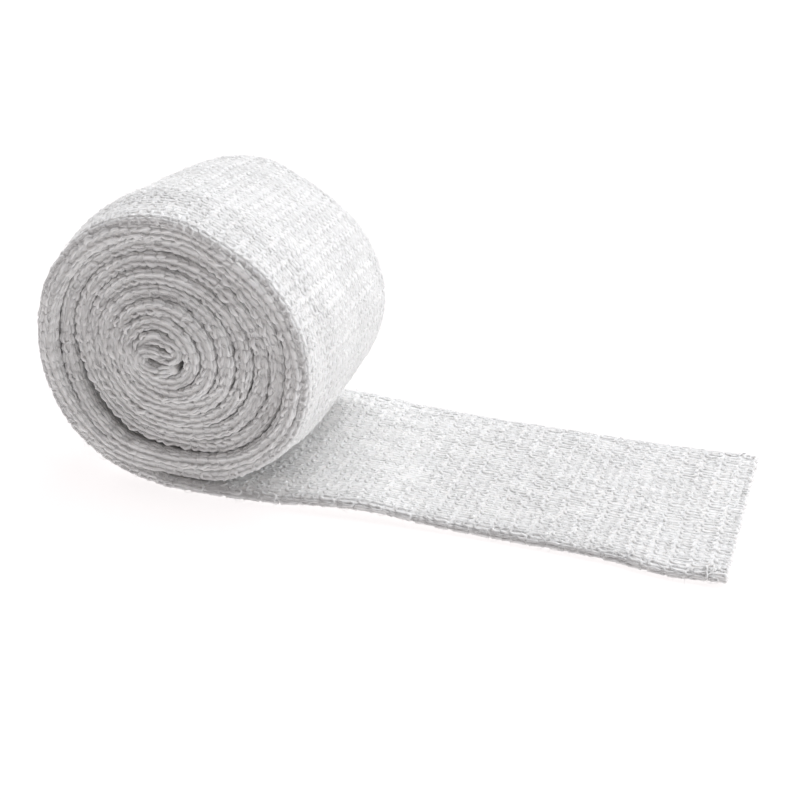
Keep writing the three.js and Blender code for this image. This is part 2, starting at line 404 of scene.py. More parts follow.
@dataclass
class PressedTube:
    """The bandage's cloth: places any point along, round and above the pressed tube."""

    winding: Winding = Winding()
    free_end: FreeEnd = FreeEnd()
    knit: Knit = Knit()
    unevenness: Unevenness = Unevenness()
    roll_fold_depth: float = 1.25
    free_fold_depth: float = 2.0
    roll_fold_fullness: float = 0.6
    rim_fold_fullness: float = 0.9
    free_fold_fullness: float = 1.0
    outside_snug: float = 0.17
    rim_drop: float = 1.5
    rim_width: float = 6.5
    rim_fold_depth: float = 3.0
    fold_swell: float = 0.24
    swell_width: float = 3.0
    outer_turn_ends: Span = (0.9, 1.1)
    clear_of_bottom: float = 0.15
    dent_fade: float = 0.65
    fit_fade: float = 0.35
    middle_top: float = 1.6
    middle_low: float = 0.15
    edge_swell: float = 0.55
    edge_low: float = 0.4
    edge_sway: float = 0.5
    dent_depth: float = 0.2
    top_sway: float = 0.14
    blend_length: float = 8.0
    waist: SmoothLine = SmoothLine(ACROSS, (0.2, 0.5, 0.8, 0.6, 0.3, 0.1, -0.5, -1.1))
    out_of_round: SmoothLine = SmoothLine(
        (0, 0.12, 0.25, 0.38, 0.5, 0.58, 0.65, 0.72, 0.78, 0.84, 0.92, 1),
        (0.3, 1.2, 0.8, 0.9, 0.3, -1.4, -0.9, 0.2, 0.8, 1.5, 0.3, 0.3),
    )
    rim_roll: SmoothLine = SmoothLine(
        (0, 0.1, 0.22, 0.35, 0.5, 0.62, 0.75, 0.88, 1), (0, 0.2, 0.6, 1.0, 0.9, 0.8, 0.8, 0.6, 0)
    )

    def __post_init__(self) -> None:
        """Measures the winding's length and draws the cloth's unevenness."""
        winding = self.winding
        self._turns = np.linspace(0, winding.turns, 4000)
        middle = winding.point(self._turns, 0.0, np.full_like(self._turns, winding.flat_width / 2))
        steps = np.linalg.norm(np.diff(middle, axis=0), axis=1)
        self._wound = np.concatenate([[0.0], np.cumsum(steps)])
        self._edge_wobble = {face: Wobble(seed=face.value, step=9.0) for face in Face}
        self._dents = Wobble(seed=13, step=14.0, across_step=9.0)
        self._top_wobble = Wobble(seed=14, step=8.0, across_step=7.0)

    @property
    def length(self) -> float:
        """Length of the whole tube, from the cut to the eye."""
        return self.free_end.length + float(self._wound[-1])

    def wound_share(self, along: Array) -> Array:
        """0 in the free end and 1 on the roll, with a smooth change between."""
        return smoothstep(self.free_end.length, self.free_end.length + self.blend_length, along)

    def turn_at(self, along: Array) -> Array:
        """The place on the winding for a distance along the tube, 0 in the free end."""
        return np.interp(along - self.free_end.length, self._wound, self._turns)

    def along_at(self, turn: float) -> float:
        """The distance along the tube for a place on the winding."""
        return self.free_end.length + float(np.interp(turn, self._turns, self._wound))

    def section(self, wale: Array, fullness: float) -> tuple[Array, Array, Array]:
        """Reads the pressed tube's section.

        Args:
            wale: Places round the tube.
            fullness: How round its folds are: 1 is a half ellipse, and less is fuller.

        Returns:
            The share across the width, and how far the section points across and outward there.
        """
        knit = self.knit
        half = knit.back_fold
        w = np.mod(wale + knit.fold_wales, knit.wales_round) - knit.fold_wales
        front = w <= knit.fold_wales
        back = np.abs(w - half) <= knit.fold_wales
        outer = (w > knit.fold_wales) & (w < half - knit.fold_wales)
        arc = np.where(front, w, np.where(back, half - w, 0.0)) * np.pi / (2 * knit.fold_wales)
        across = np.where(front, -np.cos(arc), np.where(back, np.cos(arc), 0.0))
        bent = np.sin(arc)
        full = np.sign(bent) * np.abs(bent) ** fullness
        outward = np.where(front | back, full, np.where(outer, 1.0, -1.0))
        on_outer = (w - knit.fold_wales) / knit.face_wales
        on_inner = 1 - (w - half - knit.fold_wales) / knit.face_wales
        share = np.where(front, 0.0, np.where(back, 1.0, np.where(outer, on_outer, on_inner)))
        return share, across, outward

    def _on_roll(self, along: Array, wale: Array, height: Array) -> Array:
        """Gives points of the wound cloth.

        Args:
            along: Distances along the tube from the cut.
            wale: Places round the tube.
            height: Heights above the tube's skin.

        Returns:
            The points, three numbers each.
        """
        winding = self.winding
        turn = self.turn_at(along)
        outer_turn = 1 - smoothstep(*self.outer_turn_ends, turn)
        clear = smoothstep(0, self.clear_of_bottom, 1 - np.cos(2 * np.pi * turn))
        rolled = outer_turn * clear * self.rim_roll(np.mod(turn, 1))
        fuller = np.minimum(rolled, 1) * (self.rim_fold_fullness - self.roll_fold_fullness)
        share, across, outward = self.section(wale, self.roll_fold_fullness + fuller)
        proud = self.knit.stands_proud
        from_front = share * winding.flat_width
        from_edge = np.minimum(share, 1 - share) * winding.flat_width
        front_depth = self.roll_fold_depth + (self.rim_fold_depth - self.roll_fold_depth) * rolled
        depth = np.where(share < 0.5, front_depth, self.roll_fold_depth)
        edge = winding.edge_back(turn)
        front = edge + proud + front_depth + self.edge_sway * self._edge_wobble[Face.FRONT](along)
        back = edge + winding.flat_width - proud - self.roll_fold_depth
        back = back + self.edge_sway * self._edge_wobble[Face.BACK](along)
        half = winding.half_thickness(turn) + self.fold_swell * bell(from_edge, self.swell_width)
        dent = self.dent_depth * self._dents(along, from_front) * np.exp(-self.dent_fade * turn)
        fit = self.waist(share) + self.out_of_round(np.mod(turn, 1))
        fit = fit * np.exp(-self.fit_fade * turn) + dent
        snug = self.outside_snug * np.maximum(outward, 0) * outer_turn
        snug = snug + self.rim_drop * bell(from_front, self.rim_width) * rolled
        away = outward * (half - proud + height) + fit * clear - snug
        return winding.point(turn, away, front + (back - front) * share + across * (depth + height))

    def _on_surface(self, along: Array, wale: Array, height: Array) -> Array:
        """Gives points of the cloth that lies out flat.

        Args:
            along: Distances along the tube from the cut.
            wale: Places round the tube.
            height: Heights above the tube's skin.

        Returns:
            The points, three numbers each.
        """
        end = self.free_end
        proud, depth = self.knit.stands_proud, self.free_fold_depth
        share, across, outward = self.section(wale, self.free_fold_fullness)
        slant = end.cut_slant * share * np.exp(-np.maximum(along, 0) / end.slant_fade)
        x = end.length - along - slant
        rise = np.maximum(end.near_lift(x), 0) * (1 - share) ** 2
        rise = rise + np.maximum(end.far_lift(x), 0) * share**2
        edges = (2 * share - 1) ** 4
        top = self.middle_top + self.edge_swell * edges
        top = top + self.top_sway * self._top_wobble(along, share * 50)
        low = self.middle_low + (self.edge_low - self.middle_low) * edges
        near = end.near(x) + proud + depth
        far = end.far(x) - proud - depth
        y = near + (far - near) * share + across * (depth + height)
        z = (top + low) / 2 + rise - outward * ((top - low) / 2 + height)
        return np.stack(np.broadcast_arrays(x, y, np.maximum(z, 0)), -1)

    def place(self, along: Array, wale: Array, height: Array | float = 0.0) -> Array:
        """Gives points of the cloth.

        Args:
            along: Distances along the tube from the cut.
            wale: Places round the tube.
            height: Heights above the tube's skin.

        Returns:
            The points, three numbers each.
        """
        along, wale, height = np.broadcast_arrays(
            np.asarray(along, float), np.asarray(wale, float), np.asarray(height, float)
        )
        wound = self.wound_share(along)[..., None]
        flat = self._on_surface(along, wale, height)
        return flat * (1 - wound) + self._on_roll(along, wale, height) * wound

    def lay_yarns(
        self, shape: "Shape", along: Array, wale: Array, height: Array, radius: Array | float, sides: int
    ) -> None:
        """Adds yarns that follow places on the cloth.

        Args:
            shape: The mesh being made.
            along: Distances along the tube, yarns by steps.
            wale: Places round the tube.
            height: Heights above the tube's skin.
            radius: The yarns' radius.
            sides: Number of sides of a yarn.
        """
        paths = self.place(along, wale, height)
        away = self.place(along, wale, height + self.knit.away_step) - paths
        add_tubes(shape, paths, away, np.broadcast_to(radius, paths.shape[:2]), sides)


@dataclass
class Shape:
    """Points, faces and UV places of one mesh while it is made."""

    points: list[Array] = field(default_factory=list)
    faces: list[Array] = field(default_factory=list)
    places: list[Array] = field(default_factory=list)
    count: int = 0

    def add(self, points: Array, faces: Array, places: Array) -> None:
        """Adds faces that all have the same number of corners.

        Args:
            points: New points, three numbers each.
            faces: Corner numbers of each face, counted from the first new point.
            places: UV place of every corner of every face.
        """
        self.points.append(points.reshape(-1, 3))
        self.cover(faces, places, self.count)
        self.count += self.points[-1].shape[0]

    def cover(self, faces: Array, places: Array, first: int) -> None:
        """Adds faces over points that are there already, as add does, counted from first."""
        self.faces.append(faces + first)
        self.places.append(places.reshape(-1, 2))

    def piece(self, name: str, material: Material) -> Object:
        """Makes the mesh, smooth all over.

        Args:
            name: The piece's name.
            material: Its material.

        Returns:
            The new object, riding on the bandage's body.
        """
        points = (np.concatenate(self.points) + ROLL_FRAME_IN_MODEL) * MM
        points[:, 2] = np.maximum(points[:, 2], LOWEST_POINT)
        corners = np.concatenate([f.ravel() for f in self.faces])
        totals = np.concatenate([np.full(len(f), f.shape[1]) for f in self.faces])
        starts = np.concatenate([[0], np.cumsum(totals)[:-1]])
        mesh = bpy.data.meshes.new(name)
        mesh.vertices.add(len(points))
        mesh.vertices.foreach_set("co", points.astype(np.float32).ravel())
        mesh.loops.add(len(corners))
        mesh.loops.foreach_set("vertex_index", corners.astype(np.int32))
        mesh.polygons.add(len(totals))
        mesh.polygons.foreach_set("loop_start", starts.astype(np.int32))
        mesh.polygons.foreach_set("loop_total", totals.astype(np.int32))
        mesh.uv_layers.new(name="UVMap").data.foreach_set(
            "uv", np.concatenate(self.places).astype(np.float32).ravel()
        )
        mesh.update(calc_edges=True)
        mesh.validate()
        mesh.polygons.foreach_set("use_smooth", np.ones(len(mesh.polygons), bool))
        mesh.materials.append(material)
        obj = bpy.data.objects.new(name, mesh)
        bpy.context.scene.collection.objects.link(obj)
        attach(obj, BODY)
        mesh.calc_loop_triangles()
        log.info("%s: %d triangles", name, len(mesh.loop_triangles))
        return obj


def add_tubes(shape: Shape, paths: Array, away: Array, radius: Array, sides: int) -> None:
    """Adds closed tubes, such as yarns or fibres.

    Args:
        shape: The mesh being made.
        paths: Points that each tube follows, tubes by steps by three numbers.
        away: Direction in which the first side of the tube points at each step.
        radius: Radius at each step.
        sides: Number of sides.
    """
    tubes, steps = paths.shape[:2]
    ahead = unit(np.gradient(paths, axis=1))
    up = unit(away - (away * ahead).sum(2, keepdims=True) * ahead)
    side = np.cross(ahead, up)
    turn = 2 * np.pi * np.arange(sides) / sides
    ring = np.cos(turn)[:, None] * up[:, :, None] + np.sin(turn)[:, None] * side[:, :, None]
    points = paths[:, :, None] + radius[:, :, None, None] * ring
    run = np.concatenate(
        [np.zeros((tubes, 1)), np.cumsum(np.linalg.norm(np.diff(paths, axis=1), axis=2), axis=1)], 1
    )
    t, i, j = np.meshgrid(np.arange(tubes), np.arange(steps - 1), np.arange(sides), indexing="ij")
    base = (t * steps + i) * sides
    wrap = (j + 1) % sides
    faces = np.stack([base + j, base + wrap, base + sides + wrap, base + sides + j], -1)
    places = corner_places(run[t, i], run[t, i + 1], j / sides, (j + 1) / sides)
    first = shape.count
    shape.add(points, faces.reshape(-1, 4), places)
    order = np.arange(sides)
    start = (np.arange(tubes) * steps * sides)[:, None]
    end = start + (steps - 1) * sides
    for caps in (start + order[::-1], end + order):
        shape.cover(caps, np.zeros((tubes, sides, 2)), first)


@dataclass
class TubeDetail:
    """Anything that is made on the pressed tube, with random draws of its own."""

    tube: PressedTube
    seed: int = 0

    def __post_init__(self) -> None:
        """Starts the draws."""
        self._draw = np.random.default_rng(self.seed)


@dataclass
class Stitches(TubeDetail):
    """Real loops of yarn over the pressed tube, one yarn across each course."""

    seed: int = 7
    samples: int = 12
    calm_ends: Span = (0.95, 1.15)

    def __post_init__(self) -> None:
        """Draws every stitch's own unevenness."""
        super().__post_init__()
        self.courses = int(self.tube.length / self.tube.knit.course_pitch) + 2
        halves = 2 * self.tube.knit.wales_round
        self._own = self._draw.normal(size=(5, self.courses, halves)).clip(-2, 2)
        self._drift_along = Wobble(seed=21, step=11.0, across_step=8.0)
        self._drift_round = Wobble(seed=22, step=13.0, across_step=6.0)
        self._tight = Wobble(seed=23, step=9.0, across_step=5.0)

    def _uneven(self, kind: int, course: Array, wale: Array) -> Array:
        """Reads one kind of unevenness, eased from half stitch to half stitch.

        Args:
            kind: Which of the drawn kinds.
            course: Numbers of the courses.
            wale: Places round the tube.

        Returns:
            The unevenness at each place.
        """
        halves = self._own.shape[2]
        at = 2 * wale
        low = np.floor(at).astype(int)
        share = smoothstep(0, 1, at - low)
        here = self._own[kind][course, low % halves]
        there = self._own[kind][course, (low + 1) % halves]
        return here * (1 - share) + there * share

    def add(self, shape: Shape, span: Span, wales: Span, sides: int) -> None:
        """Adds the loops of one area.

        Args:
            shape: The mesh being made.
            span: Where the area starts and ends along the tube.
            wales: Where it starts and ends round the tube.
            sides: Number of sides of the yarn.
        """
        knit, uneven = self.tube.knit, self.tube.unevenness
        first, last = (int(along / knit.course_pitch) for along in span)
        course = np.arange(max(0, first), min(self.courses - 2, last))[:, None]
        steps = int(round(self.samples * (wales[1] - wales[0]))) + 1
        wale = np.linspace(*wales, steps)[None, :]
        phase = 2 * np.pi * wale
        raised = np.where(course % 2 == 0, 1.0, -1.0)
        centre = (course + 0.5) * knit.course_pitch
        tight = self._tight(centre, wale)
        reach = knit.loop_reach * (1 + uneven.own_reach * self._uneven(0, course, wale))
        along = centre + reach * np.cos(phase) + uneven.own_along * self._uneven(1, course, wale)
        drifting = smoothstep(*uneven.drift_starts, centre)
        along = along + uneven.drift_along * self._drift_along(centre, wale) * drifting
        round_it = wale + knit.head_width * np.sin(2 * phase) + knit.leg_closeness * np.sin(phase)
        round_it = round_it + uneven.own_round * self._uneven(2, course, wale)
        round_it = round_it + uneven.drift_round * self._drift_round(centre, wale)
        free = 1 - self.tube.wound_share(centre)
        outer_turn = (1 - free) * (1 - smoothstep(*self.calm_ends, self.tube.turn_at(centre)))
        calm = 1 - uneven.outer_turn_calm * outer_turn
        flatter = knit.free_end_knob_loss * free + knit.outer_turn_knob_loss * outer_turn
        knob = bell(knit.from_fold(wale), knit.knob_width) * knit.fold_knob * (1 - flatter)
        depth = knit.loop_depth * (1 - (1 - knit.shown_depth_share) * (free + outer_turn))
        depth = depth + knob * (1 + uneven.own_knob * self._uneven(1, course, wale))
        banded = knit.raised_course * (1 + knit.raised_at_cut * bell(centre, knit.cut_reach))
        banded = banded * raised * (uneven.least_tight + uneven.tight_height * tight)
        height = knit.yarn_height - depth * np.cos(2 * phase)
        height = height + calm * (banded + uneven.own_height * self._uneven(3, course, wale))
        radius = uneven.course_radius * raised + uneven.own_radius * self._uneven(4, course, wale)
        radius = knit.yarn_radius * (1 + radius + uneven.tight_radius * tight)
        self.tube.lay_yarns(shape, np.maximum(along, -knit.open_end_reach), round_it, height, radius, sides)


@dataclass
class Fuzz(TubeDetail):
    """Fine loose fibres that stand off the yarns."""

    seed: int = 31
    sides: int = 3
    steps: int = 4
    radius: float = 0.04
    thin_tip: float = 0.6
    root_height: float = 0.42
    near_step: float = 0.4
    lengths: Span = (0.8, 2.4)
    lifts: Span = (0.15, 0.75)
    curls: Span = (-0.6, 0.6)

    def add(self, shape: Shape, count: int, span: Span, wales: Span) -> None:
        """Adds fibres at random places.

        Args:
            shape: The mesh being made.
            count: Number of fibres.
            span: Where they start and end along the tube.
            wales: Where they start and end round the tube.
        """
        draw = self._draw
        along = draw.uniform(*span, count)
        wale = draw.uniform(*wales, count)
        root = self.tube.place(along, wale, self.root_height)
        ahead = unit(self.tube.place(along + self.near_step, wale, self.root_height) - root)
        out = unit(self.tube.place(along, wale, self.root_height + self.near_step) - root)
        side = np.cross(ahead, out)
        heading = draw.uniform(0, 2 * np.pi, (count, 1))
        towards = np.cos(heading) * ahead + np.sin(heading) * side
        aside = np.cross(towards, out)
        one_each = (count, 1, 1)
        length = draw.uniform(*self.lengths, one_each)
        lift = draw.uniform(*self.lifts, one_each)
        curl = draw.uniform(*self.curls, one_each)
        fall = draw.uniform(0, 1, one_each) * lift
        t = np.linspace(0, 1, self.steps)[None, :, None]
        rise = lift * t - fall * t**2
        bent = t * towards[:, None] + rise * out[:, None] + curl * t**2 * aside[:, None]
        paths = root[:, None] + length * bent
        taper = np.broadcast_to(self.radius * (1 - self.thin_tip * t[..., 0]), (count, self.steps))
        add_tubes(shape, paths, np.broadcast_to(out[:, None], paths.shape), taper, self.sides)


@dataclass
class CutEdge(TubeDetail):
    """The cut: open loops along it, and loose yarns at its corners."""

    seed: int = 41
    sides: int = 5
    loop_steps: int = 11
    loop_radius: float = 0.3
    loop_start: float = 0.9
    loop_reach: float = 0.6
    loop_lean: float = 0.12
    loop_half_width: float = 0.3
    loop_heights: Span = (-0.15, 0.3)
    loose_steps: int = 17
    loose_radius: float = 0.2
    loose_yarns: tuple[tuple[float, int], ...] = ((51.6, 9), (26.4, 4))
    loose_sizes: Span = (0.8, 2.0)
    loose_starts: Span = (0.2, 4.5)
    loose_spread: Span = (-1.12, 0.8)
    loose_width: float = 0.5
    loose_bend: float = 0.3
    loose_root: float = 0.35
    loose_heights: Span = (0.1, 0.8)

    def add(self, shape: Shape) -> None:
        """Adds the loops and the loose yarns.

        Args:
            shape: The mesh being made.
        """
        draw = self._draw
        wales = np.arange(0, self.tube.knit.wales_round, 0.5)[:, None]
        count = len(wales)
        arch = np.pi * np.linspace(0, 1, self.loop_steps)[None, :]
        reach = draw.uniform(0, self.loop_reach, (count, 1))
        lean = draw.normal(0, self.loop_lean, (count, 1))
        along = self.loop_start - (self.loop_start + reach) * np.sin(arch)
        round_it = wales + lean * np.sin(arch) - self.loop_half_width * np.cos(arch)
        height = draw.uniform(*self.loop_heights, (count, 1))
        self.tube.lay_yarns(shape, along, round_it, height, self.loop_radius, self.sides)
        for centre, many in self.loose_yarns:
            each = (many, 1)
            t = np.linspace(0, 1, self.loose_steps)[None, :]
            size = draw.uniform(*self.loose_sizes, each)
            start = draw.uniform(*self.loose_starts, each)
            from_wale = centre + draw.uniform(*self.loose_spread, each)
            bend = self.loose_bend * draw.uniform(-1, 1, each)
            along = start - size * np.sin(np.pi * t) * (1 + bend)
            round_it = from_wale + self.loose_width * size * (t - 0.5) + bend * np.sin(2 * np.pi * t)
            height = self.loose_root + draw.uniform(*self.loose_heights, each) * np.sin(np.pi * t)
            self.tube.lay_yarns(shape, along, round_it, height, self.loose_radius, self.sides)


@dataclass
class Cloth(TubeDetail):
    """The pressed tube itself, closed at the cut and at the eye."""

    under_yarns: float = 0.3
    under_folds: float = 0.15
    row_pitch: float = 1.5
    free_end_rows: int = 60
    tuck_along: Span = (2.5, 0.4)
    tuck_height: Span = (-0.65, -0.4)

    def build(self, material: Material) -> Object:
        """Makes the cloth.

        Args:
            material: Its material.

        Returns:
            The cloth, a sheet that stands for both solids.
        """
        tube, knit = self.tube, self.tube.knit
        free, back = tube.free_end.length, knit.back_fold
        fold = np.linspace(-knit.fold_wales, knit.fold_wales, 7)
        face = np.linspace(knit.fold_wales, back - knit.fold_wales, 13)[1:-1]
        wales = np.roll(np.concatenate([fold, face, back + fold, back + face]), -3)
        wound = np.arange(free + self.row_pitch, tube.length, self.row_pitch)
        flat = np.linspace(0, free, self.free_end_rows)
        along = np.concatenate([self.tuck_along, flat, wound, [tube.length]])
        at_fold = bell(knit.from_fold(wales), knit.fold_wales)
        height = self.under_yarns + (self.under_folds - self.under_yarns) * at_fold
        tucked = np.zeros(len(along))
        tucked[: len(self.tuck_height)] = self.tuck_height
        points = tube.place(along[:, None], wales[None, :], height[None, :] + tucked[:, None])
        rows, round_it = points.shape[:2]
        i, j = np.meshgrid(np.arange(rows - 1), np.arange(round_it), indexing="ij")
        wrap = (j + 1) % round_it
        faces = np.stack(
            [i * round_it + j, i * round_it + wrap, (i + 1) * round_it + wrap, (i + 1) * round_it + j], -1
        )
        beyond = np.append(np.mod(wales, knit.wales_round), float(knit.wales_round))
        beyond[0] = 0.0
        places = corner_places(along[i], along[i + 1], beyond[j], beyond[j + 1])
        shape = Shape()
        shape.add(points, faces.reshape(-1, 4)[:, ::-1], places.reshape(-1, 4, 2)[:, ::-1])
        half = round_it // 2
        k = np.arange(1, half - 1)
        for ring, turned in ((0, False), (rows - 1, True)):
            first = ring * round_it
            middle = np.stack([k, k + 1, round_it - k - 1, round_it - k], -1)
            tips = np.array([[0, 1, round_it - 1], [half - 1, half, half + 1]])
            for part in (middle, tips):
                part = part[:, ::-1] if turned else part
                shape.cover(part, np.zeros((part.size, 2)), first)
        return shape.piece("bandage_cloth", material)


@dataclass(frozen=True)
class Socket:
    """One input or output of a node group."""

    name: str
    kind: str
    value: float | tuple[float, ...] | None = None


class NodeGroup:
    """A shared shader node group, made once."""

    name = "group"
    inputs: tuple[Socket, ...] = ()
    outputs: tuple[Socket, ...] = ()

    def __init__(self) -> None:
        """Makes the group with its sockets and its nodes."""
        self.tree = bpy.data.node_groups.new(self.name, "ShaderNodeTree")
        for in_out, sockets in (("INPUT", self.inputs), ("OUTPUT", self.outputs)):
            for socket in sockets:
                made = self.tree.interface.new_socket(socket.name, in_out=in_out, socket_type=socket.kind)
                if socket.value is not None:
                    made.default_value = socket.value
        self.enter = self.tree.nodes.new("NodeGroupInput")
        self.leave = self.tree.nodes.new("NodeGroupOutput")
        self.fill()

    def fill(self) -> None:
        """Adds the group's nodes."""
        raise NotImplementedError

    def noise(self, scale: float | NodeSocket, detail: float = 2.0) -> NodeSocket:
        """Adds noise over the object.

        Args:
            scale: How fine it is, a number or a socket.
            detail: How many finer layers it has.

        Returns:
            The noise's value, from 0 to 1.
        """
        made = new_node(self.tree, "ShaderNodeTexNoise")
        at = new_node(self.tree, "ShaderNodeTexCoord")
        self.tree.links.new(at.outputs["Object"], made.inputs["Vector"])
        self.put(scale, made.inputs["Scale"])
        self.put(detail, made.inputs["Detail"])
        return made.outputs["Fac"]

    def uv(self) -> tuple[NodeSocket, NodeSocket]:
        """Reads the piece's UV map.

        Returns:
            The places along and round.
        """
        at = new_node(self.tree, "ShaderNodeTexCoord")
        split = new_node(self.tree, "ShaderNodeSeparateXYZ")
        self.tree.links.new(at.outputs["UV"], split.inputs["Vector"])
        return split.outputs["X"], split.outputs["Y"]

    def put(self, value: object, into: NodeSocket) -> None:
        """Feeds an input.

        Args:
            value: A socket or a number.
            into: The input.
        """
        if isinstance(value, NodeSocket):
            self.tree.links.new(value, into)
        else:
            into.default_value = value

    def math(self, operation: str, first: object, second: object = None) -> NodeSocket:
        """Adds a Math node.

        Args:
            operation: The node's operation.
            first: A socket or a number.
            second: A socket or a number, where the operation takes two.

        Returns:
            The node's output socket.
        """
        made = new_node(self.tree, "ShaderNodeMath", operation=operation)
        self.put(first, made.inputs[0])
        if second is not None:
            self.put(second, made.inputs[1])
        return made.outputs[0]


def set_inputs(node: Node, values: dict[str, object]) -> None:
    """Sets some of a node's inputs, by their names."""
    for name, value in values.items():
        node.inputs[name].default_value = value


def new_node(tree: NodeTree, kind: str, **settings: object) -> Node:
    """Adds a node.

    Args:
        tree: The node tree.
        kind: The node's type.
        **settings: Values of the node's own properties.

    Returns:
        The new node.
    """
    made = tree.nodes.new(kind)
    for name, value in settings.items():
        setattr(made, name, value)
    return made


class CottonTone(NodeGroup):
    """Soft patches of a slightly deeper tone, and an uneven roughness."""

    name = "cotton_tone"
    inputs = (
        Socket("Light", "NodeSocketColor", (1, 1, 1, 1)),
        Socket("Deep", "NodeSocketColor", (0.8, 0.8, 0.8, 1)),
        Socket("Patches", "NodeSocketFloat", 120.0),
    )
    outputs = (Socket("Color", "NodeSocketColor"), Socket("Roughness", "NodeSocketFloat"))
    finer = 14.0
    broad_share = 0.6
    fine_share = 0.4
    contrast: Span = (0.35, 0.65)
    roughness: Span = (0.86, 1.0)

    def fill(self) -> None:
        """Adds two sizes of noise over the object."""
        link = self.tree.links.new
        broad = self.noise(self.enter.outputs["Patches"], 3.0)
        fine = self.noise(self.math("MULTIPLY", self.enter.outputs["Patches"], self.finer), 3.0)
        broad_part = self.math("MULTIPLY", broad, self.broad_share)
        both = self.math("ADD", broad_part, self.math("MULTIPLY", fine, self.fine_share))
        spread = new_node(self.tree, "ShaderNodeMapRange")
        link(both, spread.inputs["Value"])
        set_inputs(spread, dict(zip(("From Min", "From Max"), self.contrast)))
        mix = new_node(self.tree, "ShaderNodeMix", data_type="RGBA")
        link(spread.outputs["Result"], mix.inputs["Factor"])
        link(self.enter.outputs["Deep"], mix.inputs[6])
        link(self.enter.outputs["Light"], mix.inputs[7])
        link(mix.outputs[2], self.leave.inputs["Color"])
        rough = new_node(self.tree, "ShaderNodeMapRange")
        link(fine, rough.inputs["Value"])
        set_inputs(rough, dict(zip(("To Min", "To Max"), self.roughness)))
        link(rough.outputs["Result"], self.leave.inputs["Roughness"])


class StrandRelief(NodeGroup):
    """Fine strands that wind round a yarn, from its UV map: along in millimetres, and once round."""

    name = "strand_relief"
    inputs = (Socket("Strands", "NodeSocketFloat", 7.0), Socket("Lay", "NodeSocketFloat", 2.4))
    outputs = (Socket("Height", "NodeSocketFloat"),)
    fibre_scale = 2600.0
    fibre_bend = 1.6
    strand_depth = 0.3

    def fill(self) -> None:
        """Adds slanted waves, broken up by noise."""
        along, round_it = self.uv()
        turns = self.math("DIVIDE", along, self.enter.outputs["Lay"])
        slanted = self.math("MULTIPLY", self.math("ADD", round_it, turns), self.enter.outputs["Strands"])
        noise = self.noise(self.fibre_scale)
        bent = self.math("ADD", slanted, self.math("MULTIPLY", noise, self.fibre_bend))
        wave = self.math("SINE", self.math("MULTIPLY", bent, 2 * math.pi))
        height = self.math("ADD", self.math("MULTIPLY", wave, self.strand_depth), noise)
        self.tree.links.new(height, self.leave.inputs["Height"])


class KnitRelief(NodeGroup):
    """Rows of stitches from the cloth's UV map: along in millimetres, and round in wales."""

    name = "knit_relief"
    inputs = (Socket("Course", "NodeSocketFloat", 2.1),)
    outputs = (Socket("Height", "NodeSocketFloat"),)
    slant = 1.3
    row_depth = 0.25
    leg_depth = 0.6
    fibre_depth = 0.5
    fibre_scale = 1800.0

    def fill(self) -> None:
        """Adds two slanted legs for each stitch."""
        along, round_it = self.uv()
        along = self.math("DIVIDE", along, self.enter.outputs["Course"])
        in_wale = self.math("FRACT", round_it)
        from_middle = self.math("ABSOLUTE", self.math("SUBTRACT", in_wale, 0.5))
        slanted = self.math("ADD", along, self.math("MULTIPLY", from_middle, self.slant))
        row = self.math("SINE", self.math("MULTIPLY", slanted, 2 * math.pi))
        leg = self.math("SINE", self.math("MULTIPLY", from_middle, 2 * math.pi))
        rows = self.math("MULTIPLY", row, self.row_depth)
        height = self.math("ADD", rows, self.math("MULTIPLY", leg, self.leg_depth))
        fibres = self.math("MULTIPLY", self.noise(self.fibre_scale), self.fibre_depth)
        height = self.math("ADD", height, fibres)
        self.tree.links.new(height, self.leave.inputs["Height"])


@dataclass(frozen=True)
class CottonFinish:
    """Soft white cotton: tones, sheen and the relief that its surface has."""

    name: str
    light: Colour
    deep: Colour
    relief_depth: float
    relief_strength: float
    ior: float = 1.45
    specular: float = 0.18
    sheen: float = 0.12
    sheen_roughness: float = 0.5
    subsurface: float = 0.35
    subsurface_radius: Triple = (1.0, 0.95, 0.9)
    subsurface_scale: float = 0.0012

    def build(self, tone: NodeGroup, relief: NodeGroup) -> Material:
        """Makes the material.

        Args:
            tone: The group that gives colour and roughness.
            relief: The group that gives the height.

        Returns:
            The material.
        """
        material = bpy.data.materials.new(self.name)
        material.use_nodes = True
        tree = material.node_tree
        link = tree.links.new
        shader = tree.nodes["Principled BSDF"]
        colours = new_node(tree, "ShaderNodeGroup", node_tree=tone.tree)
        set_inputs(colours, {"Light": self.light, "Deep": self.deep})
        heights = new_node(tree, "ShaderNodeGroup", node_tree=relief.tree)
        bump = new_node(tree, "ShaderNodeBump")
        set_inputs(bump, {"Distance": self.relief_depth, "Strength": self.relief_strength})
        link(colours.outputs["Color"], shader.inputs["Base Color"])
        link(colours.outputs["Roughness"], shader.inputs["Roughness"])
        link(heights.outputs["Height"], bump.inputs["Height"])
        link(bump.outputs["Normal"], shader.inputs["Normal"])
        set_inputs(shader, {
            "IOR": self.ior,
            "Specular IOR Level": self.specular,
            "Sheen Weight": self.sheen,
            "Sheen Roughness": self.sheen_roughness,
            "Subsurface Weight": self.subsurface,
            "Subsurface Radius": self.subsurface_radius,
            "Subsurface Scale": self.subsurface_scale,
        })
        return material


COTTON_YARN = CottonFinish(
    name="cotton_yarn",
    light=(0.93, 0.93, 0.925, 1),
    deep=(0.86, 0.86, 0.855, 1),
    relief_depth=0.00008,
    relief_strength=0.6,
)
# The cloth's tones are a touch deeper than the yarn's: painted shade in the gaps between the loops, where
# the cloth shows through.
COTTON_CLOTH_PAINTED_SHADE = CottonFinish(
    name="cotton_cloth",
    light=(0.92, 0.92, 0.915, 1),
    deep=(0.85, 0.85, 0.845, 1),
    relief_depth=0.0003,
    relief_strength=0.7,
)


@dataclass(frozen=True)
class Lamp:
    """One soft square lamp: where it stands, its size in metres and its power in watts."""

    name: str
    where: Triple
    size: float
    power: float


